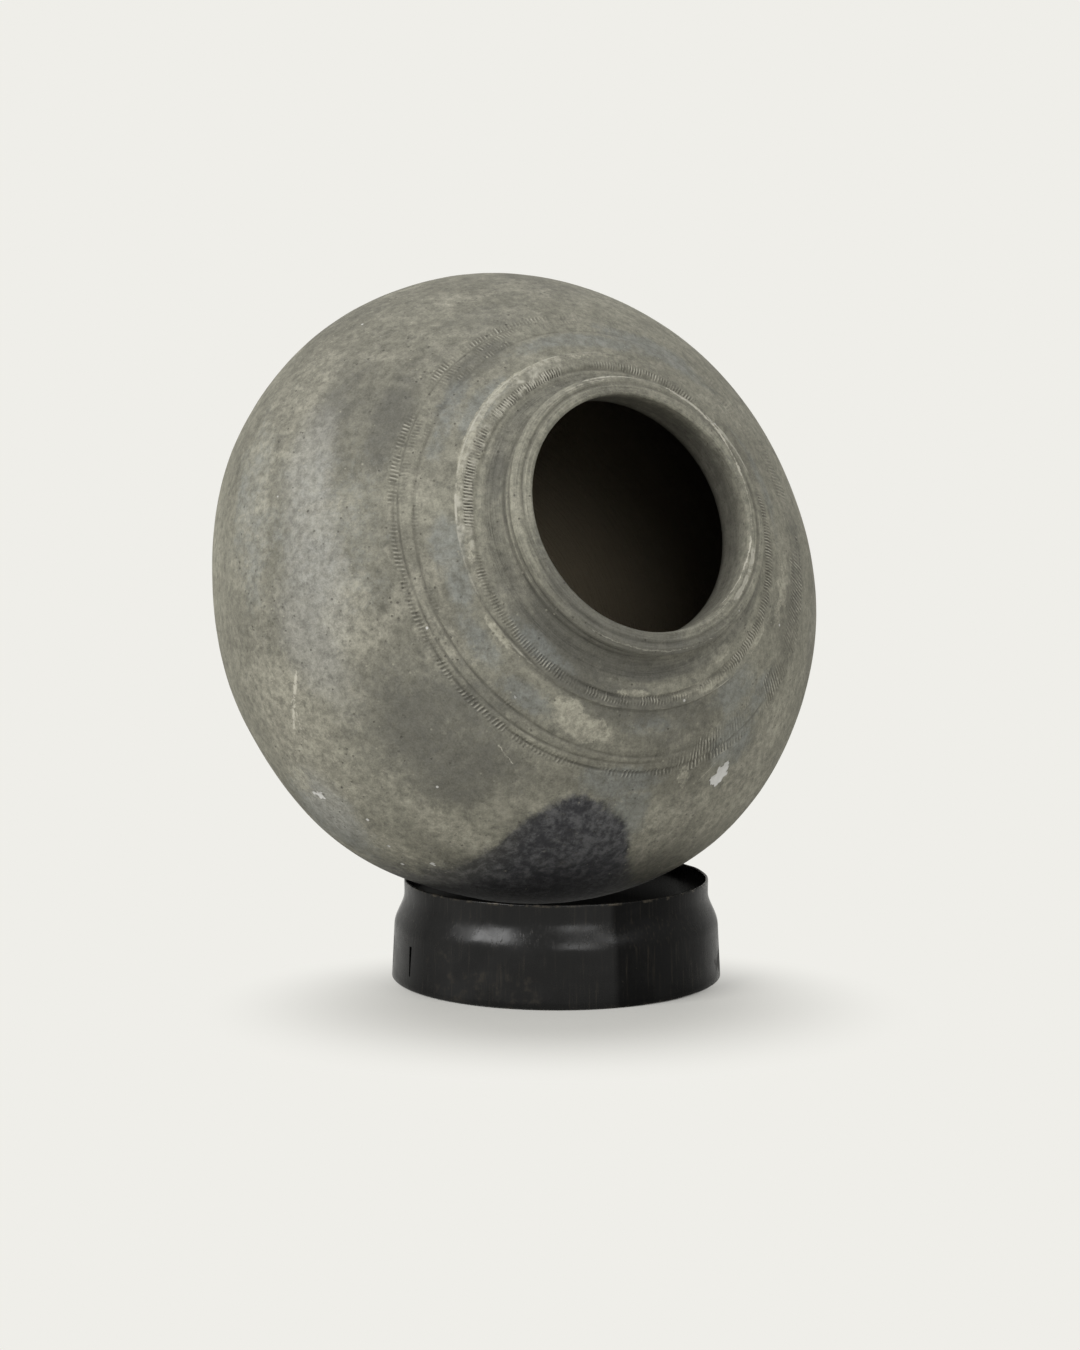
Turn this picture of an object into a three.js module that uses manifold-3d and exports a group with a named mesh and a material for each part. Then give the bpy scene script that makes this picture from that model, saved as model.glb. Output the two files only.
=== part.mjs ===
import * as THREE from "three";
import { mergeVertices } from "three/addons/utils/BufferGeometryUtils.js";
import Module from "manifold-3d";

// A hand-made clay water pot that lies tilted in a black steel ring stand. Millimetres, +Z up.
// The mouth looks along -Y and a little up, and the plane X = 0 halves the pot and the ring.

// Ring stand: a short steel sleeve, drawn in at the top to a narrower collar
const footRadius = 100.1;
const sleeveRadius = 98.5;
const collarRadius = 92.4;
const ringHeight = 60;
const shoulderFoot = 31;
const shoulderTop = 51.5;
const steelWall = 1.6;

// Two narrow slots through the sleeve, side by side at the left
const slotWidth = 3;
const slotLength = 18;
const slotMiddle = 17;
const slotAngles = [178.5, 156.5];

// Clay pot: belly, measured from its widest ring along the pot's own axis
const bellyRadius = 197.5;
const baseDepth = 166.5;
const baseFullness = 2.02;
const shoulderRise = 142;
const shoulderFullness = 1.83;
const clayWall = 8;

// Clay pot: lines cut round the shoulder, and the raised collar at the foot of the neck
const outerLineRadius = 137.6;
const innerLineRadius = 129;
const lineWidth = 3;
const lineDepth = 0.9;
const ridgeRadius = 103.1;
const ridgeWidth = 10;
const ridgeHeight = 1.8;

// Clay pot: neck and rolled lip
const neckRadius = 81;
const creaseHeight = 130.5;
const lipRadius = 84;
const lipRoll = 4.6;
const lipTop = 142.8;
const lipSlope = 1;
const lipLineRadius = 77.8;
const mouthRadius = 70.6;
const mouthRound = 2.4;
const throatRadius = 73;
const throatRound = 4.5;

// Clay pot: the wall thickens inside towards the neck, where the two were joined
const jointRadius = 112;
const jointWall = 16;

// How the pot lies in the ring
const mouthTilt = THREE.MathUtils.degToRad(20.3);
const setBack = 36;
const seatGap = 0.3;

// Facets
const turns = 72;
const belowSteps = 15;
const aboveSteps = 8;
const roundSteps = 6;

const clay = new THREE.MeshStandardMaterial({ color: 0x7f7d71, roughness: 0.88, metalness: 0 });
const steel = new THREE.MeshStandardMaterial({ color: 0x1d1d1d, roughness: 0.42, metalness: 0.25 });

// A point of an outline: its distance from the axis, and its height along it
const at = (radius, height) => new THREE.Vector2(radius, height);

// The belly's outline is two quarter curves that meet at the widest ring.
// With a fullness of 2 a quarter is a true ellipse; a little less draws it in towards the pole.
function bellyPoint(radius, depth, fullness, angle) {
  const power = 2 / fullness;
  return at(radius * Math.cos(angle) ** power, depth * Math.sin(angle) ** power);
}

function shoulderHeight(radius, inset) {
  const share = radius / (bellyRadius - inset);
  return (shoulderRise - inset) * (1 - share ** shoulderFullness) ** (1 / shoulderFullness);
}

// A point on the shoulder's outside, lifted from it along its normal
function shoulderPoint(radius, lift) {
  const step = 0.5;
  const fall = (shoulderHeight(radius, 0) - shoulderHeight(radius + step, 0)) / step;
  const normal = at(fall, 1).normalize();
  return at(radius, shoulderHeight(radius, 0)).addScaledVector(normal, lift);
}

// The angle on the shoulder's quarter curve at which it reaches a radius
function angleAt(radius, widest) {
  return Math.acos((radius / widest) ** (shoulderFullness / 2));
}

// The quarter curve from the base pole to just under the widest ring
function basePoints(radius, depth) {
  const points = [];
  for (let i = 0; i < belowSteps; i++) {
    const angle = (Math.PI / 2) * (1 - i / belowSteps);
    const point = bellyPoint(radius, depth, baseFullness, angle);
    points.push(at(i === 0 ? 0 : point.x, -point.y));
  }
  return points;
}

// The quarter curve from the widest ring up to an angle on the shoulder
function shoulderPoints(radius, depth, end) {
  const points = [];
  for (let i = 0; i <= aboveSteps; i++) {
    points.push(bellyPoint(radius, depth, shoulderFullness, (end * i) / aboveSteps));
  }
  return points;
}

function cutLine(radius) {
  const half = lineWidth / 2;
  return [
    shoulderPoint(radius + half, 0),
    shoulderPoint(radius, -lineDepth),
    shoulderPoint(radius - half, 0),
  ];
}

function raisedRidge() {
  const points = [];
  for (let i = 0; i <= roundSteps; i++) {
    const across = Math.PI * (i / roundSteps);
    const radius = ridgeRadius + (ridgeWidth / 2) * Math.cos(across);
    points.push(shoulderPoint(radius, ridgeHeight * Math.sin(across)));
  }
  return points;
}

function arc(centre, radius, from, to, steps) {
  const points = [];
  for (let i = 0; i <= steps; i++) {
    const angle = THREE.MathUtils.degToRad(from + ((to - from) * i) / steps);
    points.push(at(centre.x + radius * Math.cos(angle), centre.y + radius * Math.sin(angle)));
  }
  return points;
}

// From the ridge the neck sweeps up to the crease under the lip.
function neckSweep(foot) {
  const crease = at(neckRadius, creaseHeight);
  const bend = at(neckRadius + 2, foot.y + 1.5);
  return new THREE.QuadraticBezierCurve(foot, bend, crease).getPoints(5).slice(1);
}

function lip() {
  const rollCentre = at(lipRadius - lipRoll, lipTop - lipSlope - lipRoll);
  const edgeCentre = at(mouthRadius + mouthRound, lipTop - mouthRound);
  return [
    ...arc(rollCentre, lipRoll, -62, 90, 6),
    at(lipLineRadius, lipTop - lipSlope - lineDepth),
    at(lipLineRadius - lineWidth / 2, lipTop - lipSlope / 2),
    ...arc(edgeCentre, mouthRound, 90, 180, 3),
  ];
}

function throat() {
  const turnHeight = shoulderHeight(throatRadius + throatRound, jointWall) + throatRound;
  return arc(at(throatRadius + throatRound, turnHeight), throatRound, 180, 270, 3);
}

// The whole outline, from the base pole up the outside, over the lip and back down the inside
function potOutline() {
  const points = basePoints(bellyRadius, baseDepth);
  const lineAngle = angleAt(outerLineRadius + lineWidth, bellyRadius);
  points.push(...shoulderPoints(bellyRadius, shoulderRise, lineAngle));
  points.push(...cutLine(outerLineRadius));
  points.push(...cutLine(innerLineRadius));
  const ridge = raisedRidge();
  points.push(...ridge);
  points.push(...neckSweep(ridge[ridge.length - 1]));
  points.push(...lip());
  points.push(...throat());
  const innerRadius = bellyRadius - clayWall;
  const jointAngle = angleAt(jointRadius, innerRadius);
  points.push(...shoulderPoints(innerRadius, shoulderRise - clayWall, jointAngle).reverse());
  points.push(...basePoints(innerRadius, baseDepth - clayWall).reverse());
  return points;
}

function sleeveRadiusAt(height) {
  if (height <= shoulderFoot) {
    return footRadius + (sleeveRadius - footRadius) * (height / shoulderFoot);
  }
  const climb = Math.min(1, (height - shoulderFoot) / (shoulderTop - shoulderFoot));
  const drawnIn = (1 - Math.cos(Math.PI * climb)) / 2;
  return sleeveRadius + (collarRadius - sleeveRadius) * drawnIn;
}

function ringOutline() {
  const heights = [0, shoulderFoot];
  for (let i = 1; i <= roundSteps; i++) {
    heights.push(shoulderFoot + ((shoulderTop - shoulderFoot) * i) / roundSteps);
  }
  const outside = heights.map((height) => at(sleeveRadiusAt(height), height));
  const inside = heights.map((height) => at(sleeveRadiusAt(height) - steelWall, height));
  const edgeCentre = at(collarRadius - steelWall / 2, ringHeight - steelWall / 2);
  const edge = arc(edgeCentre, steelWall / 2, 0, 180, 4);
  return [...outside, ...edge, ...inside.reverse(), outside[0].clone()];
}

const wasm = await Module();
wasm.setup();

function solidOf(geometry) {
  const bare = geometry.clone();
  bare.deleteAttribute("normal");
  bare.deleteAttribute("uv");
  const merged = mergeVertices(bare, 1e-3);
  const mesh = new wasm.Mesh({
    numProp: 3,
    vertProperties: merged.getAttribute("position").array,
    triVerts: new Uint32Array(merged.getIndex().array),
  });
  return new wasm.Manifold(mesh);
}

function geometryOf(solid) {
  const mesh = solid.getMesh();
  const geometry = new THREE.BufferGeometry();
  geometry.setAttribute("position", new THREE.BufferAttribute(mesh.vertProperties, 3));
  geometry.setIndex(new THREE.BufferAttribute(mesh.triVerts, 1));
  geometry.computeVertexNormals();
  return geometry;
}

// A slot's cutter: an upright plate with round ends that passes through the wall
function slotCutter(angle) {
  const half = slotWidth / 2;
  const reach = slotLength / 2 - half;
  const shape = new THREE.Shape();
  shape.absarc(0, reach, half, 0, Math.PI, false);
  shape.absarc(0, -reach, half, Math.PI, 2 * Math.PI, false);
  const depth = 8 * steelWall;
  const cutter = new THREE.ExtrudeGeometry(shape, { depth, bevelEnabled: false, curveSegments: 4 });
  cutter.translate(0, 0, sleeveRadius - depth / 2);
  cutter.rotateX(Math.PI / 2);
  cutter.rotateZ(Math.PI);
  cutter.rotateZ(THREE.MathUtils.degToRad(angle - 90));
  cutter.translate(0, 0, slotMiddle);
  return cutter;
}

function ringStand() {
  const sleeve = new THREE.LatheGeometry(ringOutline(), turns);
  sleeve.rotateX(Math.PI / 2);
  let solid = solidOf(sleeve);
  for (const angle of slotAngles) {
    solid = solid.subtract(solidOf(slotCutter(angle)));
  }
  const mesh = new THREE.Mesh(geometryOf(solid), steel);
  mesh.name = "ring_stand";
  return mesh;
}

// The least distance between the pot's belly and the rounded top edge of the ring, with the
// pot's widest ring centred at the given height. Near the surface it is the outline's level
// over its slope.
function edgeDistance(height) {
  const edgeRadius = collarRadius - steelWall / 2;
  const edgeHeight = ringHeight - steelWall / 2;
  const axis = new THREE.Vector3(0, -Math.cos(mouthTilt), Math.sin(mouthTilt));
  let least = Infinity;
  for (let i = 0; i < 2 * turns; i++) {
    const angle = (Math.PI * i) / turns;
    const point = new THREE.Vector3(
      edgeRadius * Math.cos(angle),
      edgeRadius * Math.sin(angle) - setBack,
      edgeHeight - height,
    );
    const along = point.dot(axis);
    const across = Math.sqrt(point.lengthSq() - along * along);
    const depth = along < 0 ? baseDepth : shoulderRise;
    const fullness = along < 0 ? baseFullness : shoulderFullness;
    const alongShare = (Math.abs(along) / depth) ** fullness;
    const acrossShare = (across / bellyRadius) ** fullness;
    const slope = Math.hypot(alongShare / Math.abs(along), acrossShare / across) * fullness;
    const distance = (alongShare + acrossShare - 1) / slope;
    least = Math.min(least, distance);
  }
  return least - steelWall / 2;
}

// The height of the pot's widest ring with which it rests on the ring stand
function seatedHeight() {
  let low = ringHeight;
  let high = ringHeight + bellyRadius + baseDepth;
  for (let i = 0; i < 50; i++) {
    const middle = (low + high) / 2;
    if (edgeDistance(middle) < seatGap) {
      low = middle;
    } else {
      high = middle;
    }
  }
  return high;
}

function clayPot() {
  const mesh = new THREE.Mesh(new THREE.LatheGeometry(potOutline(), turns), clay);
  mesh.name = "clay_pot";
  mesh.rotation.x = Math.PI - mouthTilt;
  mesh.position.set(0, setBack, seatedHeight());
  return mesh;
}

const waterPot = new THREE.Group();
waterPot.add(ringStand(), clayPot());

// The origin is below the middle of the whole object, on the floor
const extent = new THREE.Box3().setFromObject(waterPot, true);
waterPot.position.set(
  -(extent.min.x + extent.max.x) / 2,
  -(extent.min.y + extent.max.y) / 2,
  -extent.min.z,
);

const object = new THREE.Group();
object.add(waterPot);

export default object;
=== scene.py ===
from math import acos, atan2, cos, degrees, hypot, pi, radians, sin

import bmesh
import bpy
import numpy as np
from mathutils import Matrix, Vector, noise


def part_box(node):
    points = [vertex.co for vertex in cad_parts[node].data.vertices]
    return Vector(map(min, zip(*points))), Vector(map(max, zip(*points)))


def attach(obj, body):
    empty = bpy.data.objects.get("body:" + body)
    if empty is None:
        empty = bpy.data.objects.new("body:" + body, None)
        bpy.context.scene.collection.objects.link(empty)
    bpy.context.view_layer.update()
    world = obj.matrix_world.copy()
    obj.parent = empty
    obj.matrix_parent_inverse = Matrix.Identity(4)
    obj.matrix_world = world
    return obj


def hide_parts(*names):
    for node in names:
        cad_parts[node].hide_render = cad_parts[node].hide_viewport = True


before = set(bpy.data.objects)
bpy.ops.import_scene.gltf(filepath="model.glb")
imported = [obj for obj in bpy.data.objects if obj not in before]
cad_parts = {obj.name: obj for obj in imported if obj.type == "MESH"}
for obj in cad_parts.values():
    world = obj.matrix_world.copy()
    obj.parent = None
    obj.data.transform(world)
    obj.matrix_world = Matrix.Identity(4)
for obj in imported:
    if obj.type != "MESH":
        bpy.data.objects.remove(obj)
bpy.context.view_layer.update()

# A clay water pot in its steel ring, metres, in the frame's own axes.
# The mouth looks along -Y and a little up, and X = 0 halves the pot and the ring.
# The long tables are in millimetres.

mm = 0.001

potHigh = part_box("clay_pot")[1]
ringLow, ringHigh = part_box("ring_stand")
ringCentre = Vector(((ringLow.x + ringHigh.x) / 2, (ringLow.y + ringHigh.y) / 2, 0))


def smooth(low, high, value):
    # 0 below low, 1 above high, and an eased slope between them
    t = min(1.0, max(0.0, (value - low) / (high - low)))
    return t * t * (3 - 2 * t)


def wave(place, size, seed):
    # smooth noise from about -1 to 1, with features about size wide
    return noise.noise(place / size + Vector((seed, 2.7 * seed, -1.3 * seed)))


def degreesApart(a, b):
    return abs((a - b + 180) % 360 - 180)


def byAngle(table, angle):
    # a value given at some angles, and even between them
    turns, values = zip(*table)
    return float(np.interp(angle, turns, values))


def toScene(name, data):
    made = bpy.data.objects.new(name, data)
    bpy.context.scene.collection.objects.link(made)
    return made


def toObject(shape, name):
    mesh = bpy.data.meshes.new(name)
    shape.to_mesh(mesh)
    shape.free()
    mesh.polygons.foreach_set("use_smooth", [True] * len(mesh.polygons))
    return toScene(name, mesh)


def columnsOf(data, name):
    # the x, y and z of every item in a mesh's list, as three arrays
    values = np.empty(len(data) * 3)
    data.foreach_get(name, values)
    return values.reshape(-1, 3).T


def store(mesh, name, values):
    mesh.attributes.new(name, "FLOAT", "POINT").data.foreach_set("value", values.astype(np.float32))


# Camera

view = {
    "turn": radians(-30.3),         # from straight ahead of the pot, round to its left
    "distance": 1.6805,
    "aside": -0.0098,
    "height": 0.3665,
    "pitch": radians(6.23),
    "focal": 74.67,                 # millimetres, on a sensor 36 mm high
}


def placeCamera():
    lens = bpy.data.cameras.new("camera")
    lens.sensor_fit = "VERTICAL"
    lens.sensor_height = 36
    lens.lens = view["focal"]
    camera = toScene("camera", lens)
    turn = Matrix.Rotation(view["turn"], 4, "Z")
    place = turn @ Vector((view["aside"], -view["distance"], view["height"]))
    tilt = Matrix.Rotation(pi / 2 - view["pitch"], 4, "X")
    camera.matrix_world = Matrix.Translation(place + ringCentre) @ turn @ tilt
    bpy.context.scene.camera = camera


placeCamera()
print("camera placed")


# Clay pot. It is made upright about the Z axis, base down, with the widest ring at height 0.

pot = {
    "tilt": radians(20.3),          # the mouth's lift above level
    "belly": 0.1975,                # radius of the widest ring
    "depth": 0.1665,                # from the widest ring down to the base
    "baseFullness": 2.02,           # 2 is a true ellipse
    "rise": 0.142,                  # from the widest ring up to the shoulder's top
    "fullness": 1.83,
    "wall": 0.008,
    "neck": 0.081,
    "crease": 0.1305,               # height of the crease under the lip
    "lip": 0.084,
    "roll": 0.0046,
    "lipTop": 0.1428,
    "bevel": 0.001,
    "mouth": 0.0706,
    "edgeRound": 0.0024,
    "throat": 0.073,
    "throatRound": 0.0045,
    "throatShift": Vector((-0.0019, 0.0036)),
    "joint": 0.112,                 # inside this radius the wall thickens towards the neck
    "jointWall": 0.016,
    "setBack": 0.036,               # how far the pot sits behind the ring's middle
    "columns": 234,
    "fineCuts": 5,                  # more columns where the notches are
}

# The hand-made form: size and depth of its dents, and a seed
wobble = [
    (90, 0.4, 3), (36, 0.25, 8), (11, 0.12, 15),
]

# Where the belly stands out or falls in: angle, height, half sizes across and along, amount
swells = [
    (326, 54, 75, 75, -1.8), (12, 77, 75, 60, -2), (112, 26, 50, 50, -0.9), (173, -35, 55, 70, -2.4),
    (228, -43, 55, 50, 3.4), (300, -70, 70, 50, -1.2),
]

# Lines cut round the shoulder, the neck and the lip: where, how wide and how deep, then how strong at some
# angles, and how far each wanders towards the lip there.
lines = [dict(zip(("radius", "width", "depth", "cut", "drift"), row)) for row in (
    (137.8, 1.8, 0.9,
     [(100, 0), (135, 0.2), (160, 0.45), (195, 0.6), (215, 0.85), (255, 0.9), (290, 0.6), (330, 0.35), (360, 0)],
     [(0, 0), (150, -0.3), (200, -0.3), (290, 0), (300, 0.9), (310, 1.8), (325, 2.6), (360, 0)]),
    (129.3, 1.7, 0.8,
     [(60, 0.3), (110, 0.35), (150, 0.4), (175, 0.65), (195, 1), (212, 0.9), (235, 0.6), (260, 0.6), (290, 0.35),
      (360, 0.3)],
     [(60, 0), (95, 2.4), (130, 3.2), (150, 2.3), (168, 1), (185, 0), (200, -0.4), (215, 0), (235, 0.8),
      (260, -0.6), (275, -0.8), (300, 0)]),
    (134.5, 1.5, 0.7,
     [(95, 0), (115, 0.6), (150, 0.6), (185, 0.8), (235, 0.75), (265, 0.6), (285, 0)],
     [(0, 0), (110, -2.2), (140, -2.2), (160, -2.2), (180, -1.6), (200, -0.6), (220, 0), (240, 0.4), (260, 1.3),
      (275, 2), (360, 0)]),
    (96, 2, 0.7, [(0, 0.3), (60, 0.4), (110, 0.35), (150, 0.2), (175, 0)]),
    (101.2, 1.9, 0.8, [(225, 0), (245, 0.8), (300, 0.7), (330, 0.3), (345, 0)],
     [(240, 0), (260, -1), (280, 0.4), (310, 1.2), (360, 0)]),
    (106.6, 1.6, 0.6, [(192, 0), (204, 0.8), (230, 0.7), (240, 0)],
     [(0, 0), (205, -0.8), (220, 1.2), (232, -0.6), (360, 0)]),
    (77.8, 2.2, 0.6, [(360, 0.55)]),
)]
lines += [dict(zip(("height", "width", "depth", "cut"), row)) for row in (
    (130.5, 1.8, 0.8, [(360, 1)]),
    (127.2, 1.6, 0.5, [(125, 0), (145, 1), (240, 1), (262, 0)]),
)]

# How far the rings on the shoulder lie off centre
lean = {"angle": 294, "shift": 0.0049, "ridge": 0.0024}

# The raised band at the foot of the neck. "wider" is how far it reaches past its plain inner edge.
ridge = {
    "outer": 108.1, "inner": 98.1, "height": 1.8, "step": 0.8, "fall": 3,
    "wider": [(0, 1.4), (60, 2.2), (100, 2.6), (127, 4.2), (150, 3), (175, 1), (200, -2.2), (230, -4), (260, -3),
              (300, -1.8), (330, 0), (360, 1.4)],
}

# Rows of short cuts pressed in with a toothed wheel. "strong" gives an angle, a half spread and a strength,
# and "shift" how far the row moves towards the lip at some angles.
notchNames = ("low", "high", "count", "lean", "depth", "dark", "pale", "even", "strong", "shift")
notches = [dict(zip(notchNames, row)) for row in (
    (137, 141, 351, -60, 0.75, 0.8, 1, 0.8,
     [(132, 50, 1), (96, 30, 0.5)]),
    (132.2, 136.2, 369, 40, 0.6, 0.8, 0.7, 0.6,
     [(128, 50, 0.9), (92, 30, 0.4)]),
    (136.4, 140.4, 351, -90, 0.6, 0.9, 0.8, 0.7,
     [(184, 34, 0.9), (236, 46, 1), (272, 34, 1)]),
    (126.2, 142, 351, -60, 0.6, 0.9, 1.1, 0.75,
     [(306, 34, 1), (342, 40, 0.9), (20, 34, 0.5)]),
    (126.6, 130.2, 351, -60, 0.5, 0.7, 0.7, 0.5,
     [(128, 44, 0.9), (180, 26, 0.8), (222, 24, 0.4), (270, 30, 0.5)]),
    (98.4, 103.6, 330, -80, 1.1, 1.3, 1.6, 1.25,
     [(146, 66, 1), (205, 24, 0.4), (255, 45, 0.6), (330, 50, 0.8), (70, 30, 0.6)],
     [(0, 1), (60, 2), (100, 3), (127, 3.2), (142, 0.8), (160, 0), (190, 0), (210, -1), (255, -2.4),
      (300, -1), (330, 0), (360, 1)]),
)]

# Where a flake has come off: angle, height, size, depth, whiteness
chips = [
    (291.8, 80.6, 5.8, 0.9, 1), (293.3, 82.6, 5.6, 0.8, 1), (294.7, 84.4, 3.6, 0.6, 1), (217.3, -8, 3, 0.7, 0.9),
    (216.2, -13, 1.8, 0.4, 0.7), (236, -10.3, 1.7, 0.5, 0.7), (239.1, 8.2, 2.1, 0.5, 0.9),
    (225.1, 9.2, 1.6, 0.4, 0.6), (231.3, 0.6, 1.5, 0.4, 0.6), (228.9, 104.9, 1.4, 0.4, 0.5), (30, 30, 4, 0.7, 0.6),
    (62, -50, 3, 0.6, 0.7), (118, -70, 4.5, 0.8, 0.5), (345, -30, 3.2, 0.6, 0.6),
]

# Worn stretches of the lip's edge: angle, half spread, height, reach
lipScars = [
    (40, 26, 140.8, 2.6), (326, 17, 142.5, 1.7), (92, 16, 139.5, 1.8),
]

# The outline's steps across the bands: radius from and to, and the step
bandSteps = [
    (148, 141.2, 1.3), (141.2, 126.2, 0.78), (126.2, 122.2, 1.3),
    (122.2, 109.8, 3), (109.8, 106, 0.6), (106, 93.5, 0.88),
]


def bellyCurve(widest, depth, angle, fullness):
    power = 2 / fullness
    return Vector((widest * max(0.0, cos(angle)) ** power, depth * max(0.0, sin(angle)) ** power))


def shoulderHeight(radius, inset=0.0):
    share = radius / (pot["belly"] - inset)
    return (pot["rise"] - inset) * (1 - share ** pot["fullness"]) ** (1 / pot["fullness"])


def angleAt(radius, widest):
    return acos((radius / widest) ** (pot["fullness"] / 2))


def walk(curve, step):
    # points about one step apart along a curve that is given from 0 to 1
    fine = [curve(i / 600) for i in range(601)]
    total = sum((b - a).length for a, b in zip(fine, fine[1:]))
    count = max(2, round(total / step))
    points, run, mark = [fine[0]], 0.0, 1
    for a, b in zip(fine, fine[1:]):
        run += (b - a).length
        if mark < count and run >= mark * total / count:
            points.append(b)
            mark += 1
    return points + [fine[-1]]


def arc(centre, radius, start, end, steps):
    turns = [radians(start + (end - start) * i / steps) for i in range(steps + 1)]
    return [centre + radius * Vector((cos(t), sin(t))) for t in turns]


def shoulderRun(outer, inner, step):
    return walk(lambda t: Vector((outer + (inner - outer) * t, shoulderHeight(outer + (inner - outer) * t))), step)


def potOutline():
    # from the base up the outside, over the lip, and down the inside to the bottom
    quarter = pi / 2
    under = walk(lambda t: bellyCurve(pot["belly"], pot["depth"], quarter * (1 - t), pot["baseFullness"]), 0.0068)
    points = [Vector((p.x, -p.y)) for p in under]
    bandAngle = angleAt(bandSteps[0][0] * mm, pot["belly"])
    points += walk(lambda t: bellyCurve(pot["belly"], pot["rise"], bandAngle * t, pot["fullness"]), 0.0056)[1:]
    for outer, inner, step in bandSteps:
        points += shoulderRun(outer * mm, inner * mm, step * mm)[1:]
    foot = points[-1]
    crease = Vector((pot["neck"], pot["crease"]))
    bend = Vector((pot["neck"] + 0.002, foot.y + 0.0015))
    points += walk(lambda t: (1 - t) ** 2 * foot + 2 * t * (1 - t) * bend + t * t * crease, 0.0018)[1:]
    lipHeight = pot["lipTop"] - pot["bevel"]
    points += arc(Vector((pot["lip"] - pot["roll"], lipHeight - pot["roll"])), pot["roll"], -62, 90, 13)
    edge = Vector((pot["mouth"] + pot["edgeRound"], pot["lipTop"] - pot["edgeRound"]))
    top = points[-1]
    points += walk(lambda t: top.lerp(Vector((edge.x, pot["lipTop"])), t), 0.0006)[1:-1]
    points += arc(edge, pot["edgeRound"], 90, 180, 6)
    inner = pot["belly"] - pot["wall"]
    turnRadius = pot["throat"] + pot["throatRound"]
    turn = Vector((turnRadius, shoulderHeight(turnRadius, pot["jointWall"]) + pot["throatRound"]))
    start = points[-1]
    points += walk(lambda t: start.lerp(Vector((pot["throat"], turn.y)), t), 0.004)[1:-1]
    points += arc(turn, pot["throatRound"], 180, 270, 5)
    jointAngle = angleAt(pot["joint"], inner)
    points += walk(lambda t: bellyCurve(inner, pot["rise"] - pot["wall"], jointAngle * (1 - t), pot["fullness"]), 0.02)
    inside = walk(lambda t: bellyCurve(inner, pot["depth"] - pot["wall"], quarter * t, pot["baseFullness"]), 0.028)
    points += [Vector((p.x, -p.y)) for p in inside[1:]]
    points[0].x = points[-1].x = 0
    return points


potPoints = potOutline()
potRuns = [0.0]
for near, far in zip(potPoints, potPoints[1:]):
    potRuns.append(potRuns[-1] + (far - near).length)
lipIndex = max(range(len(potPoints)), key=lambda i: potPoints[i].y)
lipRun = potRuns[lipIndex]


def runAtHeight(height):
    return float(np.interp(height, [p.y for p in potPoints[:lipIndex]], potRuns[:lipIndex]))


def runAtRadius(radius):
    # on the outside of the shoulder or on the lip, where the radius falls steadily
    widest = max(range(lipIndex), key=lambda i: potPoints[i].x)
    spots = [i for i in range(widest, lipIndex + 4) if potPoints[i].x > 0.0936 or potPoints[i].y > 0.1405]
    return float(np.interp(-radius, [-potPoints[i].x for i in spots], [potRuns[i] for i in spots]))


def runAbove(height):
    # where the outline first rises to a height, past the bands
    return next(run for point, run in zip(potPoints, potRuns) if point.y >= height and run > bandTo)


bandFrom, bandTo = runAtRadius(0.148), runAtRadius(0.0937)
for row in lines + notches + [ridge]:
    for name in {"radius", "height", "low", "high", "outer", "inner", "width", "depth", "step", "fall"} & row.keys():
        row[name] *= mm
for line in lines:
    line["run"] = runAtRadius(line["radius"]) if "radius" in line else runAtHeight(line["height"])
for row in notches:
    row["from"], row["to"] = runAtRadius(row["high"]), runAtRadius(row["low"])
ridge["from"], ridge["to"] = runAtRadius(ridge["outer"]), runAtRadius(ridge["inner"])
chips = [(angle, runAtHeight(height * mm), size * mm, depth * mm, white) for angle, height, size, depth, white in chips]
lipScars = [(angle, spread, runAbove(height * mm), reach * mm) for angle, spread, height, reach in lipScars]


def notchStrength(row, angle, place):
    best = max(s * (1 - smooth(0.55, 1.0, degreesApart(angle, a) / w)) for a, w, s in row["strong"])
    patchy = min(1.0, max(0.0, row["even"] + 1.9 * wave(place, 0.02, 21)))
    return best * patchy * min(1.0, max(0.2, 0.8 + 1.1 * wave(place, 0.0045, 25)))


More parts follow.
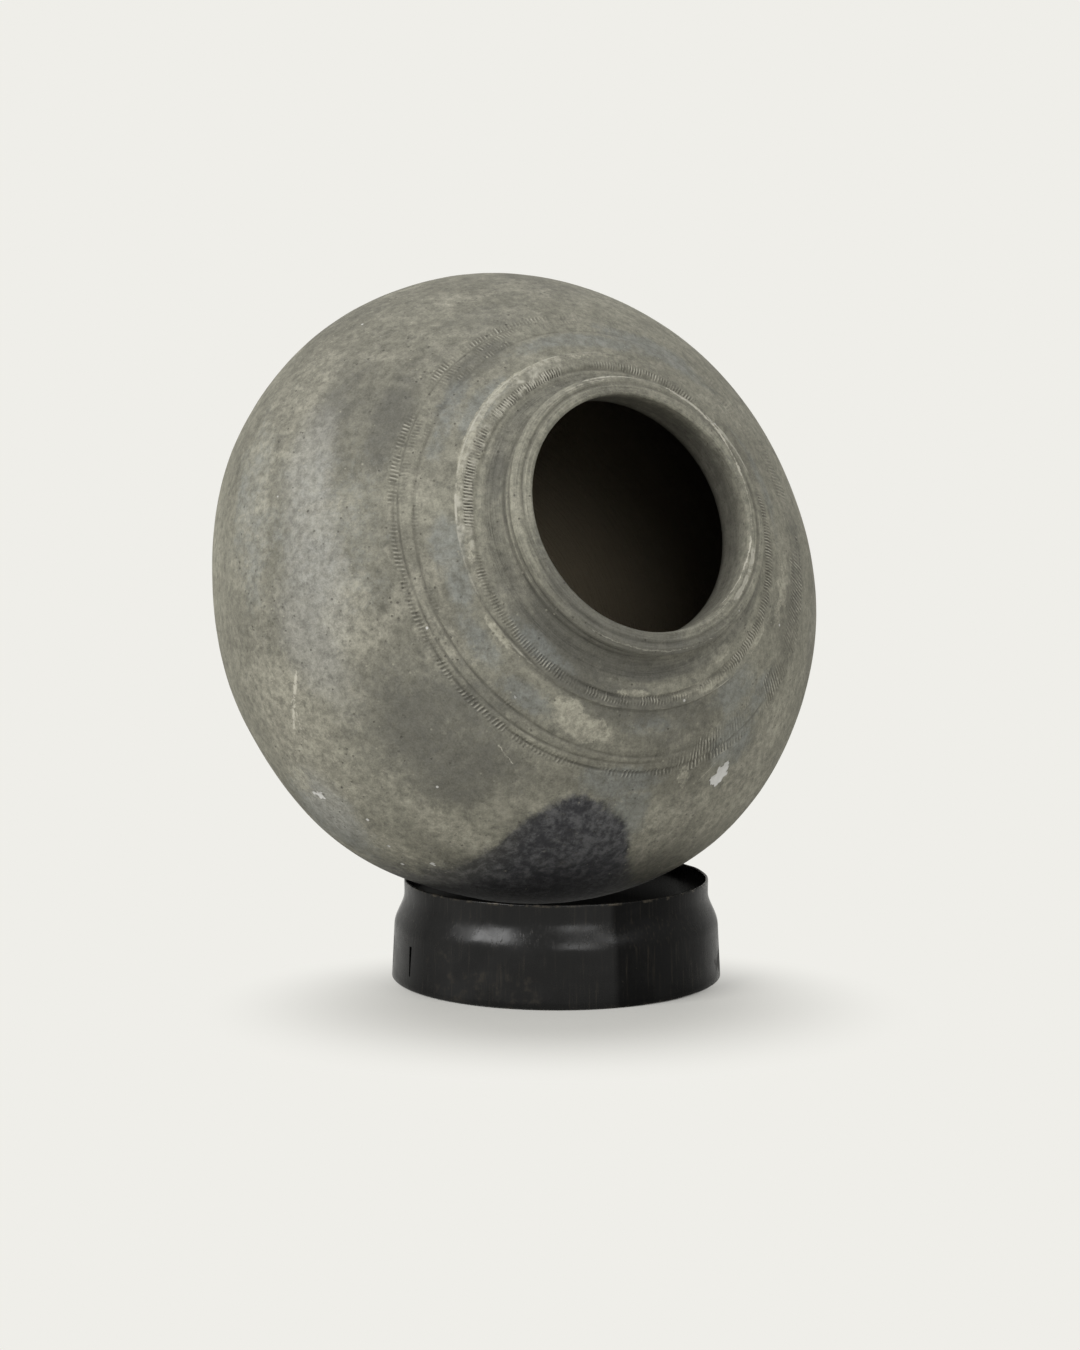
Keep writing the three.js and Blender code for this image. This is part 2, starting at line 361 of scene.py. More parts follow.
def potRelief(angle, run, place, marks):
    # how far the finished surface lies above the turned one, and what is painted there
    def mark(name, value):
        marks[name] = max(marks[name], value)

    rise = -0.05 * mm
    for size, depth, seed in wobble:
        rise -= depth * mm / 2 * (1 + wave(place, size * mm, seed))
    if run < bandTo:
        for centre, along, halfAcross, halfAlong, amount in swells:
            across = radians(degreesApart(angle, centre)) * place.xy.length / mm / halfAcross
            rise += amount * mm * (1 - smooth(0, 1.6, hypot(across, (place.z / mm - along) / halfAlong)))
    if bandFrom - 0.01 < run < lipRun + 0.004:
        shaky = 1 + 0.5 * wave(place, 0.03, 5) + 0.6 * wave(place, 0.008, 7)
        for line in lines:
            if abs(run - line["run"]) < 0.006:
                drift = byAngle(line["drift"], angle) * mm if "drift" in line else 0
                off = abs(run - line["run"] - drift) / (line["width"] / 2)
                if off < 1.5:
                    cut = (1 - smooth(0.1, 1.5, off)) * byAngle(line["cut"], angle) * shaky
                    rise -= line["depth"] * cut
                    # the cut is painted darker, partly grime and partly painted shade
                    mark("groove", 0.9 * cut)
        innerEdge = ridge["to"] + byAngle(ridge["wider"], angle) * mm
        if ridge["from"] - 0.001 < run < innerEdge + 0.001:
            up = smooth(0, ridge["step"], run - ridge["from"]) * smooth(0, ridge["fall"], innerEdge - run)
            rise += ridge["height"] * up * (0.86 + 0.2 * wave(place, 0.02, 6))
            edge = 1 - smooth(0.0001, 0.0009, abs(run - ridge["from"] - ridge["step"]))
            rise += 0.00025 * edge
            # the band's outer edge is pale with wear all round and paler where it faces up to the left, partly a
            # painted highlight; its back there is a painted highlight
            wornAndLit = 0.4 + 0.7 * (1 - smooth(24, 60, degreesApart(angle, 148))) + 0.8 * wave(place, 0.022, 31)
            paintedBackHighlight = up * (1 - smooth(33.6, 56, degreesApart(angle, 144))) * (0.4 + 0.8 * wave(place, 0.003, 33))
            mark("wornAndLit", max(edge * wornAndLit, paintedBackHighlight))
        for row in notches:
            shift = byAngle(row["shift"], angle) * mm if "shift" in row else 0
            off = run - shift - row["from"]
            if -0.001 < off < row["to"] - row["from"] + 0.001:
                ends = smooth(-0.0006, 0.001, off) * smooth(-0.0006, 0.001, row["to"] - row["from"] - off)
                strength = ends * notchStrength(row, angle, place)
                turned = radians(angle) * row["count"] + row["lean"] * off * 6.28 + 1.5 * wave(place, 0.007, 23)
                beat = 0.5 + 0.5 * cos(turned)
                rise -= row["depth"] * strength * beat ** 1.5
                # the cuts are painted darker, partly grime and partly painted shade, and the crests between them paler,
                # partly deposit and partly painted highlight
                mark("notch", strength * row["dark"] * beat ** 1.5)
                mark("crest", strength * row["pale"] * (1 - beat) ** 2.5)
        for centre, spread, scarRun, reach in lipScars:
            aside = degreesApart(angle, centre)
            if aside < spread + 3:
                far = abs(run - scarRun) / reach + 0.5 * wave(place, 0.004, 41)
                tear = (1 - smooth(0.7, 1.0, aside / spread)) * (1 - smooth(0.4, 1.0, far))
                rise -= 0.0006 * tear * (0.6 + 0.8 * wave(place, 0.006, 43))
                mark("wornAndLit", 1.6 * tear)
    if run > bandTo:
        rise += 0.0003 * wave(Vector((run * 3, 0.2 * place.x, 0.2 * place.y)), 0.006, 51)
    for centre, chipRun, size, depth, white in chips:
        if abs(run - chipRun) < size * 1.7 and degreesApart(angle, centre) < 12:
            across = radians(degreesApart(angle, centre)) * place.xy.length
            far = hypot(across, run - chipRun) / size + 0.55 * wave(place, size * 0.55, 61)
            flake = 1 - smooth(0.86, 1.0, far)
            rise -= depth * flake
            mark("chip", flake * white)
    return rise


def spinChain(shape, chain, following, columns):
    # a turned surface from points that are joined to the ones that follow them
    edges = [shape.edges.new(pair) for pair in zip(chain, following)]
    bmesh.ops.spin(shape, geom=chain + edges, cent=(0, 0, 0), axis=(0, 0, 1), angle=2 * pi,
                   steps=columns, use_merge=True)
    bmesh.ops.remove_doubles(shape, verts=shape.verts[:], dist=1e-6)
    bmesh.ops.recalc_face_normals(shape, faces=shape.faces[:])


def fineColumns(shape, low, high, cuts):
    # more columns between two runs, where notches are pressed in
    spot = shape.verts.layers.float_vector["spot"]
    rings = []
    for edge in shape.edges:
        a, b = edge.verts[0][spot], edge.verts[1][spot]
        if abs(a.z - b.z) < 1e-7 and low <= a.z <= high and a.x > 0.01:
            rings.append(edge)
    bmesh.ops.subdivide_edges(shape, edges=rings, cuts=cuts, use_grid_fill=True)


def fineSpots(shape, spots, cuts):
    # a finer mesh round each chip
    spot = shape.verts.layers.float_vector["spot"]
    edges = set()
    for face in shape.faces:
        first = face.verts[0][spot]
        middle = face.calc_center_median()
        angle = degrees(atan2(middle.y, middle.x)) % 360
        for centre, chipRun, size, depth, white in spots:
            near = size * 1.5 + 0.002
            across = radians(degreesApart(angle, centre)) * first.x
            if abs(first.z - chipRun) < near + 0.004 and first.z < lipRun and across < near:
                edges.update(face.edges)
    bmesh.ops.subdivide_edges(shape, edges=list(edges), cuts=cuts, use_grid_fill=True)


def ringShift(angle, run):
    # how far a place on the shoulder has slid towards the lip
    lifted = cos(radians(angle - lean["angle"]))
    atLines = smooth(bandFrom - 0.03, bandFrom, run) * (1 - smooth(ridge["from"] - 0.01, ridge["from"], run))
    atRidge = smooth(ridge["from"] - 0.01, ridge["from"], run) * (1 - smooth(bandTo, bandTo + 0.016, run))
    return -lifted * (lean["shift"] * atLines + lean["ridge"] * atRidge)


def alongOutline(values, run):
    return float(np.interp(run, potRuns, values))


markNames = ("groove", "wornAndLit", "notch", "crest", "chip")


def makePot():
    shape = bmesh.new()
    spot = shape.verts.layers.float_vector.new("spot")
    for name in markNames:
        shape.verts.layers.float.new(name)
    around = shape.verts.layers.float_vector.new("around")
    chain = [shape.verts.new((p.x, 0, p.y)) for p in potPoints]
    for vert, point, run in zip(chain, potPoints, potRuns):
        # every point keeps its radius, height and run
        vert[spot] = Vector((point.x, point.y, run))
    spinChain(shape, chain, chain[1:], pot["columns"])
    fineColumns(shape, runAtRadius(0.142), runAtRadius(0.1262), pot["fineCuts"])
    fineColumns(shape, runAtRadius(0.1086), runAtRadius(0.0956), pot["fineCuts"])
    fineSpots(shape, chips, 3)
    radii, heights = zip(*potPoints)
    normals = []
    for i in range(len(potPoints)):
        ahead = potPoints[min(i + 1, len(potPoints) - 1)] - potPoints[max(i - 1, 0)]
        normals.append(Vector((ahead.y, -ahead.x)).normalized())
    normalsAcross, normalsAlong = zip(*normals)
    markLayers = {name: shape.verts.layers.float[name] for name in markNames}
    for vert in shape.verts:
        run = vert[spot].z
        angle = atan2(vert.co.y, vert.co.x)
        radius, height = alongOutline(radii, run), alongOutline(heights, run)
        vert[around] = Vector((cos(angle), sin(angle), run))
        vert[spot] = Vector((radius, height, run))
        place = Vector((radius * cos(angle), radius * sin(angle), height))
        if run < lipRun + 0.03:
            normal = Vector((alongOutline(normalsAcross, run), alongOutline(normalsAlong, run)))
            marks = dict.fromkeys(markNames, 0.0)
            fading = 1 - smooth(lipRun + 0.02, lipRun + 0.03, run)
            rise = potRelief(degrees(angle) % 360, run, place, marks) * fading
            onBands = smooth(bandFrom - 0.02, bandFrom, run) * (1 - smooth(bandTo, bandTo + 0.01, run))
            slide = 0.0007 * wave(place, 0.05, 71) * onBands + ringShift(degrees(angle), run)
            vert[spot] = Vector((radius, height, run + slide))
            across = radius + rise * normal.x - slide * normal.y
            height += rise * normal.y + slide * normal.x
            place = Vector((across * cos(angle), across * sin(angle), height))
            for name in markNames:
                vert[markLayers[name]] = marks[name]
        inThroat = smooth(lipRun + 0.003, lipRun + 0.026, run) * (1 - smooth(lipRun + 0.05, lipRun + 0.11, run))
        place.xy += pot["throatShift"] * inThroat
        if radius > 1e-5:
            vert.co = place
    bmesh.ops.recalc_face_normals(shape, faces=shape.faces[:])
    reach = max(p.y * sin(pot["tilt"]) + p.x * cos(pot["tilt"]) for p in potPoints)
    seat = Vector((0, ringCentre.y + pot["setBack"], potHigh.z - reach))
    shape.transform(Matrix.Translation(seat) @ Matrix.Rotation(pi / 2 - pot["tilt"], 4, "X"))
    return toObject(shape, "pot")


potPiece = makePot()
print("pot shaped:", len(potPiece.data.polygons), "faces")


# Clouds of colour on the pot: angle round it, height along it, half sizes across and along, and strength

clouds = {"blue": [
    # the cloud at 168 degrees, low on the left, is painted shade that darkens the lamp-lit left edge; the others are
    # bluish clay
    (173.7, 68, 52, 36, 0.45), (168, 22, 60, 16, 0.6), (182.8, 111, 18, 9, 1), (195, 111, 16, 8, 0.8),
    (135.6, 114, 26, 7, 0.9), (150, 108, 20, 6, 0.6), (225.5, 118.5, 22, 6, 1), (231, 106, 18, 7, 0.9),
    (212, 108, 18, 7, 0.7), (263.9, 89, 26, 10, 0.9), (303.5, 108, 18, 12, 0.9), (297.6, 92, 18, 16, 0.9),
    (312, 98, 18, 10, 0.7), (222.1, -22, 34, 26, 0.8), (92, 109, 52, 6, 0.8), (12, 112, 40, 7, 0.6),
    (270, 108, 20, 7, 0.6), (20, 20, 60, 50, 0.5), (300, -60, 70, 50, 0.5), (150, -90, 60, 50, 0.6),
    (268, 72, 13, 22, 0.9), (140, 107, 22, 7, 0.6), (63, 103, 40, 10, 0.8),
], "dark": [
    # from about 205 to 290 degrees, the dark clouds above 100 mm, round the neck's foot, the shoulder below it and the
    # lip's underside, are painted shade beneath the lip; the rest are darker clay
    (222.5, 76, 50, 40, 0.8), (230.8, 61, 16, 12, 0.8), (145.5, 66, 34, 20, 0.6), (148.6, 90, 34, 13, 0.8),
    (109.4, 92, 34, 11, 0.5), (119, 14, 30, 30, 0.4), (302, 80, 20, 20, 0.4), (350, 96, 40, 14, 0.5),
    (262, 122, 40, 6, 0.9), (243, 116.5, 50, 10, 0.9), (264, 112.5, 50, 10, 0.8), (286, 109, 36, 12, 0.5),
    (243, 124.5, 50, 7.5, 1), (139, 106, 24, 8, 0.6), (124, 104, 34, 9, 0.6), (88, 60, 50, 30, 0.4),
    (225, 125.5, 30, 7, 1), (223, 120.5, 30, 8, 1), (238, 119, 30, 7, 0.9), (258, 140, 60, 11, 1),
    (238, 142.8, 60, 10, 1), (246, 132.5, 60, 9, 1), (268, 115, 24, 7, 0.6), (274, 104, 16, 6, 0.5),
    (160, 124, 16, 6, 0.8), (115, 88, 60, 16, 0.4), (205, 120, 30, 6, 0.5), (60, -10, 60, 40, 0.5),
    (200, -100, 50, 40, 0.6), (330, -100, 50, 40, 0.5),
], "pale": [
    (249.4, 105.5, 17, 7.5, 1), (243, 110, 10, 5, 0.8), (214.5, 113.1, 13, 2.6, 0.9), (301.5, 120.5, 10, 4, 0.9),
    (284.3, 116.5, 24, 2.6, 0.7), (317.5, 115, 13, 5, 0.9), (262, 117.5, 16, 2.4, 0.7),
    (310, 116.5, 20, 2.4, 0.8), (293, 115, 14, 2.4, 0.7), (138, 115.6, 60, 2.6, 0.95),
    (100, 116.5, 40, 2.8, 0.5), (188, 116.5, 20, 3, 0.45), (327, 108, 10, 3, 0.5), (340, 108, 24, 8, 0.6),
    (200, 20, 10, 10, 0.4), (281, 88, 6, 9, 0.6), (213.4, -17.7, 16, 16, 0.6), (80, -40, 12, 10, 0.6),
], "warm": [
    (203.1, 12, 46, 32, 0.8), (193.5, 72, 30, 18, 0.7), (239.9, 40, 56, 8, 1), (232, 4, 24, 6, 0.8),
    (277.1, 64, 24, 20, 0.8), (164.9, 25, 66, 14, 0.8), (143, 44, 50, 22, 0.5), (84, 73, 70, 22, 0.4),
    (206, 98, 20, 12, 0.5), (285, 70, 20, 12, 0.7), (342, 40, 60, 30, 0.5), (40, -30, 60, 40, 0.5),
    (170, -40, 60, 30, 0.5), (226, -2, 36, 10, 0.8), (300, 52, 40, 14, 0.7), (300, 70, 30, 14, 0.8),
    (312, 76, 34, 16, 0.8),
], "paintedSheen": [
    # painted highlight: lighter clay where glare lies on the pot
    (165, 60, 50, 16, 0.9), (180, 62, 45, 17, 1), (194, 50, 40, 18, 0.8), (219, -10, 26, 18, 0.9),
    (345, 60, 40, 20, 0.4), (60, 20, 50, 25, 0.5),
]}

# Angle round the pot, height of the soot's upper edge, softness and amount
sootEdge = [
    (0, 72, 30, 0.8), (60, 66, 30, 0.8), (120, 82, 34, 0.8), (180, 86, 36, 0.8), (217, 83, 34, 0.85),
    (229, 76, 32, 0.85), (239, 76, 28, 0.76), (244, 87, 20, 0.8), (247, 111, 12, 0.92), (251, 122.5, 8, 1),
    (255, 124.5, 8, 1), (259, 122.5, 8, 1), (263, 117, 8, 1), (268, 106, 8, 1), (271, 93, 9, 1),
    (272.8, 78, 10, 0.9), (278, 60, 20, 0.8), (320, 58, 30, 0.8), (360, 72, 30, 0.8),
]

# Start and end of each scrape, angle and height, then width and strength
scratches = [
    (197.4, 34.5, 205.2, 13, 1.9, 0.8), (199.6, 30, 201.4, 21.5, 0.7, 0.8), (203, 21.5, 206.4, 16.5, 0.6, 0.6),
    (233, 89, 238, 86, 0.7, 0.7), (286, 86, 291, 90, 0.6, 0.5), (20, 10, 27, -5, 0.8, 0.6),
]

# Bright lines on the lip, partly wear and partly painted highlights along its edge, as above, but with lengths past its
# highest ring
lipWear = [
    (66, -9.5, 38, -6.2, 1.3, 1), (40, -6.6, 16, -2.2, 1.3, 1), (16, -2.2, -10, 0, 0.6, 0.6),
    (-14, 0.6, -33, 3, 1.2, 0.9), (-33, 3, -50, 7, 1.2, 0.9), (96, -8, 118, -8.8, 0.7, 0.5),
    (-125, -9.4, -68, -9.6, 0.9, 0.45),
]


def paintPot():
    mesh = potPiece.data
    radius, along, run = columnsOf(mesh.attributes["spot"].data, "vector")
    x, y = columnsOf(mesh.attributes["around"].data, "vector")[:2]
    height = columnsOf(mesh.vertices, "co")[2]
    angle = np.degrees(np.arctan2(y, x)) % 360
    outside = run < lipRun + 0.01

    for name, places in clouds.items():
        total = np.zeros(len(run))
        for centre, middle, halfAcross, halfAlong, strength in places:
            across = np.radians((angle - centre + 180) % 360 - 180) * radius / (halfAcross * mm)
            far = np.hypot(across, (run - runAtHeight(middle * mm)) / (halfAlong * mm))
            total = np.maximum(total, strength * np.clip((1.45 - far) / 0.9, 0, 1))
        store(mesh, name, total * outside)
    turns, edges, softs, amounts = np.array(sootEdge).T
    # the edge is as listed in front, and plain round the base
    front = np.clip((along + 0.085) / 0.03, 0, 1)
    edge = 74 + (np.interp(angle, turns, edges) - 74) * front
    soft = 30 + (np.interp(angle, turns, softs) - 30) * front
    store(mesh, "soot", np.clip((edge - height / mm) / soft + 0.5, 0, 1) * outside)
    store(mesh, "sootAmount", 0.8 + (np.interp(angle, turns, amounts) - 0.8) * front)
    store(mesh, "inside", np.clip((run - lipRun - 0.024) / 0.01, 0, 1))
    mesh.attributes.remove(mesh.attributes["spot"])


paintPot()
print("pot painted")


# Ring stand: a thin sleeve, drawn in at the top to a narrower collar

ring = {
    "foot": 0.1001,
    "sleeve": 0.0985,
    "collar": 0.0923,
    "flare": 0.0001,
    "shoulderFoot": 0.031,
    "shoulderTop": 0.0515,
    "height": ringHigh.z,
    "wall": 0.0016,
    "columns": 288,
    "slots": [                      # angle, middle, length, width at the top and at the bottom
        (178.5, 0.0172, 0.018, 0.003, 0.0014), (156.5, 0.0175, 0.0165, 0.0026, 0.0018),
    ],
    "dents": [                      # angle, height, half sizes and depth, in millimetres
        (205, 44, 20, 10, 0.4), (240, 20, 30, 16, 0.3), (262, 41, 16, 8, 0.5),
        (292, 25, 22, 18, 0.4), (20, 30, 30, 16, 0.5), (100, 22, 30, 18, 0.5),
    ],
    "rust": [                       # angle, height and half sizes, in millimetres
        (196, 18, 12, 14), (216, 16, 22, 5), (205, 6, 16, 6), (228, 10, 20, 8), (60, 15, 40, 10), (330, 12, 30, 8),
    ],
}


def sleeveRadius(height):
    if height <= ring["shoulderFoot"]:
        return ring["foot"] + (ring["sleeve"] - ring["foot"]) * height / ring["shoulderFoot"]
    climb = min(1.0, (height - ring["shoulderFoot"]) / (ring["shoulderTop"] - ring["shoulderFoot"]))
    drawn = (1 - cos(pi * climb)) / 2
    flare = ring["flare"] * smooth(ring["shoulderTop"], ring["height"], height)
    return ring["sleeve"] + (ring["collar"] - ring["sleeve"]) * drawn + flare


def slotCutter(angle, middle, length, top, bottom):
    # a tapered upright plate that passes through the sleeve
    shape = bmesh.new()
    bmesh.ops.create_cube(shape, size=1.0)
    for vert in shape.verts:
        wide = top if vert.co.z > 0 else bottom
        vert.co = Vector((ring["sleeve"] + vert.co.x * 0.012, vert.co.y * wide, middle + vert.co.z * length))
    upright = [e for e in shape.edges if abs(e.verts[0].co.x - e.verts[1].co.x) > 0.006]
    bmesh.ops.bevel(shape, geom=upright, offset=bottom * 0.4, affect="EDGES", segments=3, profile=0.5, material=-1)
    shape.transform(Matrix.Translation(ringCentre) @ Matrix.Rotation(radians(angle), 4, "Z"))
    return toObject(shape, "slotCutter")


def makeRing():
    heights = [0.0006, 0.004, 0.009, 0.014, 0.019, 0.024, 0.028]
    heights += [0.03 + 0.0015 * i for i in range(15)] + [0.0532, 0.0556, 0.0578]
    wall = ring["wall"]
    outside = [Vector((sleeveRadius(z), z)) for z in heights]
    inside = [Vector((sleeveRadius(z) - wall, z)) for z in heights]
    top = Vector((sleeveRadius(ring["height"]) - wall / 2, ring["height"] - wall / 2))
    points = [Vector((ring["foot"] - 0.0006, 0))] + outside + arc(top, wall / 2, 0, 180, 6) + inside[::-1]
    points.append(Vector((ring["foot"] - wall + 0.0004, 0)))
    shape = bmesh.new()
    chain = [shape.verts.new((p.x, 0, p.y)) for p in points]
    spinChain(shape, chain, chain[1:] + chain[:1], ring["columns"])
    for vert in shape.verts:
        angle = degrees(atan2(vert.co.y, vert.co.x)) % 360
        pull = 0.05 * mm * (1 + wave(vert.co, 0.05, 81))
        for centre, middle, halfWidth, halfHeight, depth in ring["dents"]:
            aside = radians(degreesApart(angle, centre)) * 95 / halfWidth
            pull += depth * mm * (1 - smooth(0, 1, hypot(aside, (vert.co.z / mm - middle) / halfHeight)))
        vert.co.xy *= 1 - pull / vert.co.xy.length
        if vert.co.z > 0.056:
            vert.co.z -= 0.0003 * (1 + wave(vert.co, 0.014, 83)) * smooth(0.056, 0.06, vert.co.z)
        if vert.co.z < 0.0008:
            vert.co.z += 0.0003 * max(0, wave(vert.co, 0.01, 85))
    shape.transform(Matrix.Translation(ringCentre))
    made = toObject(shape, "ringStand")
    cutters = [slotCutter(*slot) for slot in ring["slots"]]
    for cutter in cutters:
        cut = made.modifiers.new("slot", "BOOLEAN")
        cut.operation = "DIFFERENCE"
        cut.solver = "EXACT"
        cut.object = cutter
    bpy.context.view_layer.update()
    finished = bpy.data.meshes.new_from_object(made.evaluated_get(bpy.context.evaluated_depsgraph_get()))
    made.modifiers.clear()
    plain = made.data
    made.data = finished
    for mesh in [plain] + [cutter.data for cutter in cutters]:
        bpy.data.meshes.remove(mesh)
    finished.name = "ringStand"
    finished.polygons.foreach_set("use_smooth", [True] * len(finished.polygons))
    finished.set_sharp_from_angle(angle=radians(50))
    return made


ringPiece = makeRing()
print("ring shaped:", len(ringPiece.data.polygons), "faces")


def paintRing():
    mesh = ringPiece.data
    x, y, z = columnsOf(mesh.vertices, "co") - np.array(ringCentre)[:, None]
    angle = np.degrees(np.arctan2(y, x)) % 360
    rim = np.clip((z - ring["height"] + 0.0022) / 0.001, 0, 1)
    foot = np.clip((0.0016 - z) / 0.0012, 0, 1) * 0.5
    # the sleeve takes less shine at its right, at its far left and inside
    right = np.clip((angle - 259.4) / 1.2, 0, 1) * np.clip((352 - angle) / 12, 0, 1)
    left = 0.75 * np.clip((200 - angle) / 12, 0, 1) * np.clip((angle - 130) / 10, 0, 1)
    middleWall = np.array([sleeveRadius(height) for height in z]) - ring["wall"] / 2
    inside = np.hypot(x, y) < middleWall - 0.0004
    rust = np.zeros(len(z))
    for centre, middle, halfWidth, halfHeight in ring["rust"]:
        aside = np.radians((angle - centre + 180) % 360 - 180) * 97 / halfWidth
        rust = np.maximum(rust, np.clip(1.4 - np.hypot(aside, (z / mm - middle) / halfHeight), 0, 1))
    store(mesh, "edge", np.maximum(rim, foot))
    store(mesh, "rust", rust)
    store(mesh, "dull", np.maximum(np.maximum(right, left), inside))


paintRing()


# Node helpers: each places a node in the tree that was opened last, and gives its output

def openTree(opened):
    global tree
    tree = opened


def join(value, socket):
    # a link to another node's output, or a plain value
    if isinstance(value, bpy.types.NodeSocket):
        tree.links.new(value, socket)
    else:
        socket.default_value = value


def put(kind, inputs=None, **settings):
    made = tree.nodes.new("ShaderNode" + kind)
    for name, value in settings.items():
        setattr(made, name, value)
    for name, value in (inputs or {}).items():
        join(value, made.inputs[name])
    return made


def maths(operation, first, second=0.5, third=0.5):
    return put("Math", {0: first, 1: second, 2: third}, operation=operation).outputs[0]


def times(first, second, third=None):
    # first times second, and plus the third where there is one
    if third is None:
        return maths("MULTIPLY", first, second)
    return maths("MULTIPLY_ADD", first, second, third)


def vectors(operation, first, second, result="Vector"):
    return put("VectorMath", {0: first, 1: second}, operation=operation).outputs[result]


def between(value, low, high, start=0.0, end=1.0, easing="SMOOTHSTEP"):
    return put("MapRange", {"Value": value, "From Min": low, "From Max": high, "To Min": start, "To Max": end},
               interpolation_type=easing).outputs[0]


def noisy(vector, scale, detail=3.0, rough=0.55, twist=0.0):
    return put("TexNoise", {"Vector": vector, "Scale": scale, "Detail": detail, "Roughness": rough,
                            "Distortion": twist}).outputs["Fac"]


def mixed(share, first, second, blend="MIX"):
    return put("Mix", {0: share, 6: first, 7: second}, data_type="RGBA", blend_type=blend).outputs[2]


def painted(name):
    return put("Attribute", attribute_name=name).outputs["Fac"]


def tone(red, green, blue):
    # a colour as a picture shows it, 0 to 255, as the linear colour that a shader takes
    return tuple(((c / 255 + 0.055) / 1.055) ** 2.4 if c > 10 else c / 255 / 12.92 for c in (red, green, blue)) + (1.0,)


def newGroup(name, inputs, outputs):
    group = bpy.data.node_groups.new(name, "ShaderNodeTree")
    openTree(group)
    for label, value in inputs.items():
        kind = "NodeSocketFloat" if isinstance(value, float) else "NodeSocketVector"
        socket = group.interface.new_socket(label, in_out="INPUT", socket_type=kind)
        if value is not None:
            socket.default_value = value
    for label in outputs:
        group.interface.new_socket(label, in_out="OUTPUT", socket_type="NodeSocketFloat")
    return group, group.nodes.new("NodeGroupInput").outputs, group.nodes.new("NodeGroupOutput").inputs


def useGroup(group, inputs):
    return put("Group", inputs, node_tree=group).outputs


def emptyTree(block):
    # opens the tree of a new material or world, with nothing in it
    block.use_nodes = True
    block.node_tree.nodes.clear()
    openTree(block.node_tree)


# A painted mask with a ragged edge
ragged, source, target = newGroup("raggedEdge", {"Mask": 0.0, "Place": None, "Scale": 60.0, "Spread": 0.8,
                                                 "Softness": 0.2}, ["Mask"])
large = maths("SUBTRACT", noisy(source["Place"], source["Scale"], 6.0, 0.68), 0.5)
small = maths("SUBTRACT", noisy(source["Place"], times(source["Scale"], 6.0), 4.0, 0.7), 0.5)
level = times(times(small, 0.7, large), source["Spread"], source["Mask"])
low = maths("SUBTRACT", 0.5, source["Softness"])
high = maths("ADD", 0.5, source["Softness"])
join(between(level, low, high), target["Mask"])


def torn(name, place, scale, spread, softness):
    # what is painted under a name, with its edge made ragged
    return useGroup(ragged, {"Mask": painted(name), "Place": place, "Scale": scale, "Spread": spread,
                             "Softness": softness})["Mask"]


# A thin line drawn from one place to another, on flat coordinates
drawnLine, source, target = newGroup("drawnLine", {"Place": None, "From": (0.0, 0.0, 0.0), "To": (0.0, 0.0, 0.0),
                                                   "Width": 0.001}, ["Mask"])
reach = vectors("SUBTRACT", source["To"], source["From"])
offset = vectors("SUBTRACT", source["Place"], source["From"])
along = vectors("DOT_PRODUCT", offset, reach, "Value")
length = vectors("DOT_PRODUCT", reach, reach, "Value")
share = put("Clamp", {"Value": maths("DIVIDE", along, length)}).outputs[0]
away = vectors("DISTANCE", offset, vectors("MULTIPLY", reach, share), "Value")
join(between(away, 0.0, source["Width"], 1.0, 0.0, "LINEAR"), target["Mask"])

# Small scattered specks: one in some of the cells of a fine pattern
specks, source, target = newGroup("specks", {"Place": None, "Scale": 400.0, "Share": 0.1, "Size": 0.25}, ["Mask"])
cells = put("TexVoronoi", {"Vector": source["Place"], "Scale": source["Scale"]}).outputs
chosen = maths("LESS_THAN", put("SeparateColor", {"Color": cells["Color"]}).outputs[0], source["Share"])
dot = between(cells["Distance"], times(source["Size"], 0.5), source["Size"], 1.0, 0.0)
join(times(chosen, dot), target["Mask"])


def speckled(place, scale, share, size):
    return useGroup(specks, {"Place": place, "Scale": scale, "Share": share, "Size": size})["Mask"]


# Fine grain: a height for bump and a value for tone
grain, source, target = newGroup("grain", {"Place": None, "Scale": 700.0}, ["Height", "Tone"])
fine = noisy(source["Place"], source["Scale"], 4.0, 0.7)
coarse = noisy(source["Place"], times(source["Scale"], 0.22), 3.0, 0.6)
join(times(coarse, 0.6, times(fine, 0.4)), target["Height"])
join(times(fine, 0.65, times(coarse, 0.35)), target["Tone"])

# Lines drawn out along one direction of a stretched place
streaks, source, target = newGroup("streaks", {"Place": None, "Stretch": (1.0, 1.0, 1.0), "Share": 0.5},
                                   ["Mask", "Height"])
drawn = noisy(vectors("MULTIPLY", source["Place"], source["Stretch"]), 1.0, 4.0, 0.6)
least = maths("SUBTRACT", 0.8, times(source["Share"], 0.4))
join(between(drawn, least, 0.8), target["Mask"])
join(drawn, target["Height"])


# some of these colours stand in for light: the inner tones and part of the grime tone are painted shade, and the pale
# glare tone and part of the wear tone are painted highlights
clayLook = {
    "base": tone(133, 131, 118), "shade": tone(111, 109, 98), "light": tone(154, 151, 137),
    "blue": tone(115, 118, 115), "paintedSheen": tone(156, 155, 148), "dark": tone(87, 86, 80),
    "soot": tone(49, 49, 52), "sootPatch": tone(86, 86, 87), "pale": tone(160, 157, 142),
    "crest": tone(178, 175, 162), "wornAndLit": tone(192, 188, 174), "chip": tone(208, 207, 203),
    "dirtAndShade": tone(66, 64, 58), "hollow": tone(142, 131, 110), "deep": tone(36, 33, 28),
}

# Painted name, colour, then its edge's scale, spread and softness, amount, least in the mottling
cloudLooks = [
    ("warm", "light", 45.0, 1.3, 0.35, 0.6, 0.55), ("dark", "dark", 40.0, 1.3, 0.38, 0.8, 0.55),
    ("blue", "blue", 50.0, 1.5, 0.34, 0.62, 0.55), ("paintedSheen", "paintedSheen", 30.0, 0.9, 0.5, 0.5, 0.9),
    ("pale", "pale", 110.0, 1.2, 0.16, 0.8, 0.55),
]


